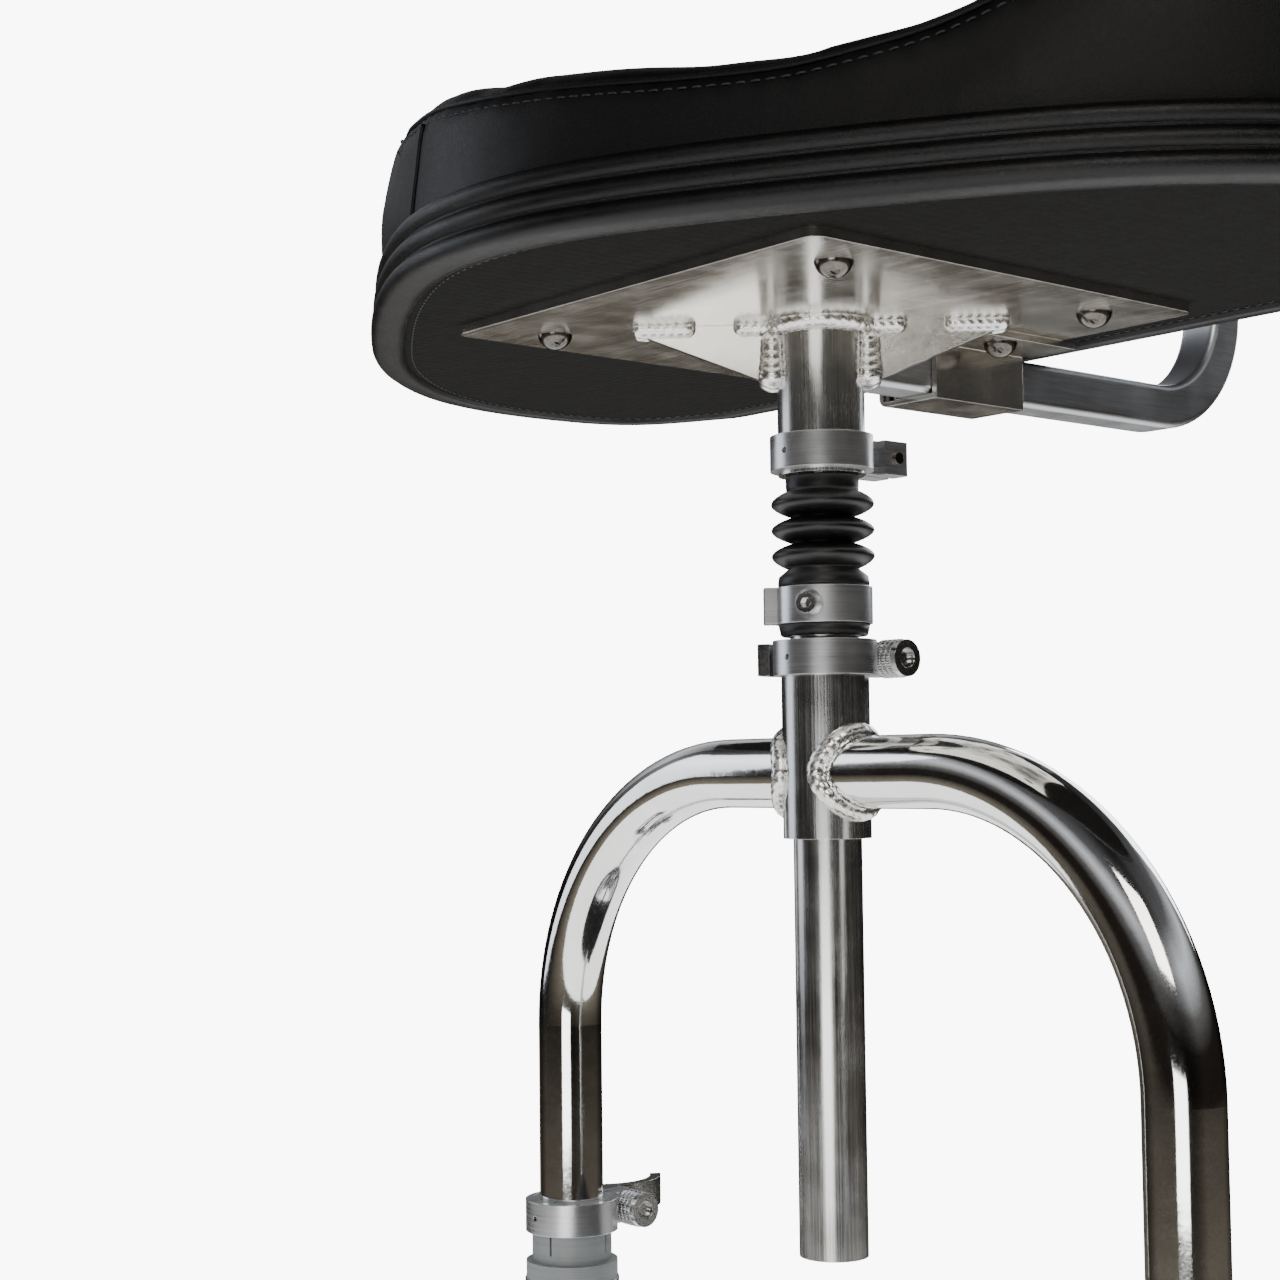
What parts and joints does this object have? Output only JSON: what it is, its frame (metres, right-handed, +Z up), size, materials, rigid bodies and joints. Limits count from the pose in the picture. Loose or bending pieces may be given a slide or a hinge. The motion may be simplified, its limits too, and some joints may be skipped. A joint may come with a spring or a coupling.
{
  "type": "unicycle",
  "caption": "Seated unicycle with a wide padded seat on a sprung post, an arched tube fork with sliding legs, a balloon-tyre wheel, cranks, pedals and a small backrest.",
  "frame": {"origin": "where the tyre touches the ground, under the middle of the wheel", "axes": "+Z up, +X along the wheel axle to the rider's left-hand side as seen from behind the backrest, the rider faces -Y"},
  "size_m": [0.6024, 0.4805, 1.096],
  "materials": {
    "satin_aluminium": "satin extruded aluminium with fine lengthwise lines",
    "polished_aluminium": "highly polished aluminium tube",
    "collar_aluminium": "satin machined aluminium",
    "plate_aluminium": "mill-finish aluminium plate, lightly polished",
    "rim_aluminium": "polished aluminium rim",
    "crank_aluminium": "forged and polished aluminium",
    "grey_anodised": "satin grey anodised",
    "bright_steel": "bright plated steel",
    "dark_steel": "dark nickel-plated steel",
    "spring_steel": "oiled spring steel",
    "black_rubber": "moulded black rubber",
    "tyre_rubber": "black tyre rubber",
    "sleeve_plastic": "grey acetal, slightly translucent",
    "black_plastic": "moulded black plastic",
    "seat_board": "black woven cover over a board",
    "seat_trim": "black ridged moulding",
    "seat_vinyl": "black vinyl"
  },
  "bodies": {
    "lower_frame": {"lower_legs": "satin_aluminium", "leg_sleeves": "sleeve_plastic", "leg_collars": "collar_aluminium", "leg_quick_release_bolts": "bright_steel", "bearing_holders": "satin_aluminium", "bearing_caps": "satin_aluminium", "bearing_cap_bolts": "dark_steel", "bearing_outer_races": "bright_steel", "bearing_balls": "bright_steel"},
    "fork": {"crown_tube": "satin_aluminium", "left_fork_tube": "polished_aluminium", "right_fork_tube": "polished_aluminium", "leg_end_plugs": "black_plastic", "crown_collar": "collar_aluminium", "crown_quick_release_bolt": "bright_steel"},
    "post": {"seat_post": "satin_aluminium", "post_head": "satin_aluminium", "shaft_bush": "sleeve_plastic", "preload_plug": "satin_aluminium", "bellows_clamp": "collar_aluminium", "bellows_clamp_screw": "dark_steel", "shock_spring": "spring_steel", "bellows_boot": "black_rubber"},
    "shaft": {"shock_shaft": "satin_aluminium"},
    "seat": {"seat_plate": "plate_aluminium", "seat_socket_tube": "satin_aluminium", "seat_gussets": "plate_aluminium", "seat_collar": "collar_aluminium", "seat_collar_screw": "dark_steel", "seat_screws": "dark_steel", "seat_tee_nuts": "bright_steel", "seat_board": "seat_board", "seat_trim": "seat_trim", "seat_cushion": "seat_vinyl", "bar_receiver": "plate_aluminium", "bar_clamp_screws": "bright_steel"},
    "backrest": {"backrest_bar": "grey_anodised", "bar_top_cap": "black_plastic", "backrest_board": "seat_board", "backrest_pad": "seat_vinyl", "backrest_screws": "dark_steel"},
    "crown_lever": {"crown_quick_release_lever": "bright_steel"},
    "left_lever": {"left_leg_lever": "bright_steel"},
    "right_lever": {"right_leg_lever": "bright_steel"},
    "wheel": {"wheel_axle": "bright_steel", "axle_spacers": "satin_aluminium", "bearing_inner_races": "bright_steel", "hub_shell": "satin_aluminium", "spokes": "bright_steel", "spoke_nipples": "bright_steel", "rim": "rim_aluminium", "tyre": "tyre_rubber", "inner_tube": "black_rubber", "left_crank": "crank_aluminium", "right_crank": "crank_aluminium", "crank_bolts": "dark_steel", "pedal_axles": "bright_steel"},
    "left_pedal": {"left_pedal": "black_plastic"},
    "right_pedal": {"right_pedal": "black_plastic"}
  },
  "joints": [
    {"name": "fork_height", "type": "slide", "parent": "lower_frame", "child": "fork", "axis": [0, 0, 1], "range_m": [-0.015, 0.06]},
    {"name": "seat_height", "type": "slide", "parent": "fork", "child": "post", "axis": [0, 0, 1], "range_m": [0, 0.1]},
    {"name": "suspension", "type": "slide", "parent": "post", "child": "shaft", "axis": [0, 0, 1], "range_m": [-0.02, 0], "stiffness_N_per_m": 12000, "springref_m": 0.006, "deforming": ["shock_spring", "bellows_boot"]},
    {"name": "seat_swivel", "type": "hinge", "parent": "shaft", "child": "seat", "pos_m": [0, 0, 0.76], "axis": [0, 0, 1], "range_deg": [-90, 90]},
    {"name": "backrest_reach", "type": "slide", "parent": "seat", "child": "backrest", "axis": [0, 1, 0], "range_m": [0, 0.03]},
    {"name": "crown_lever_swing", "type": "hinge", "parent": "fork", "child": "crown_lever", "pos_m": [-0.0121, 0.028, 0.6585], "axis": [0, 0, 1], "range_deg": [-150, 0]},
    {"name": "left_lever_swing", "type": "hinge", "parent": "lower_frame", "child": "left_lever", "pos_m": [-0.1801, 0.028, 0.416], "axis": [0, 0, 1], "range_deg": [0, 150]},
    {"name": "right_lever_swing", "type": "hinge", "parent": "lower_frame", "child": "right_lever", "pos_m": [0.1559, 0.028, 0.416], "axis": [0, 0, 1], "range_deg": [0, 150]},
    {"name": "wheel_spin", "type": "hinge", "parent": "lower_frame", "child": "wheel", "pos_m": [0, 0, 0.203], "axis": [1, 0, 0], "continuous": true},
    {"name": "left_pedal_spin", "type": "hinge", "parent": "wheel", "child": "left_pedal", "pos_m": [-0.24, -0.114, 0.203], "axis": [1, 0, 0], "continuous": true},
    {"name": "right_pedal_spin", "type": "hinge", "parent": "wheel", "child": "right_pedal", "pos_m": [0.24, 0.114, 0.203], "axis": [1, 0, 0], "continuous": true}
  ]
}
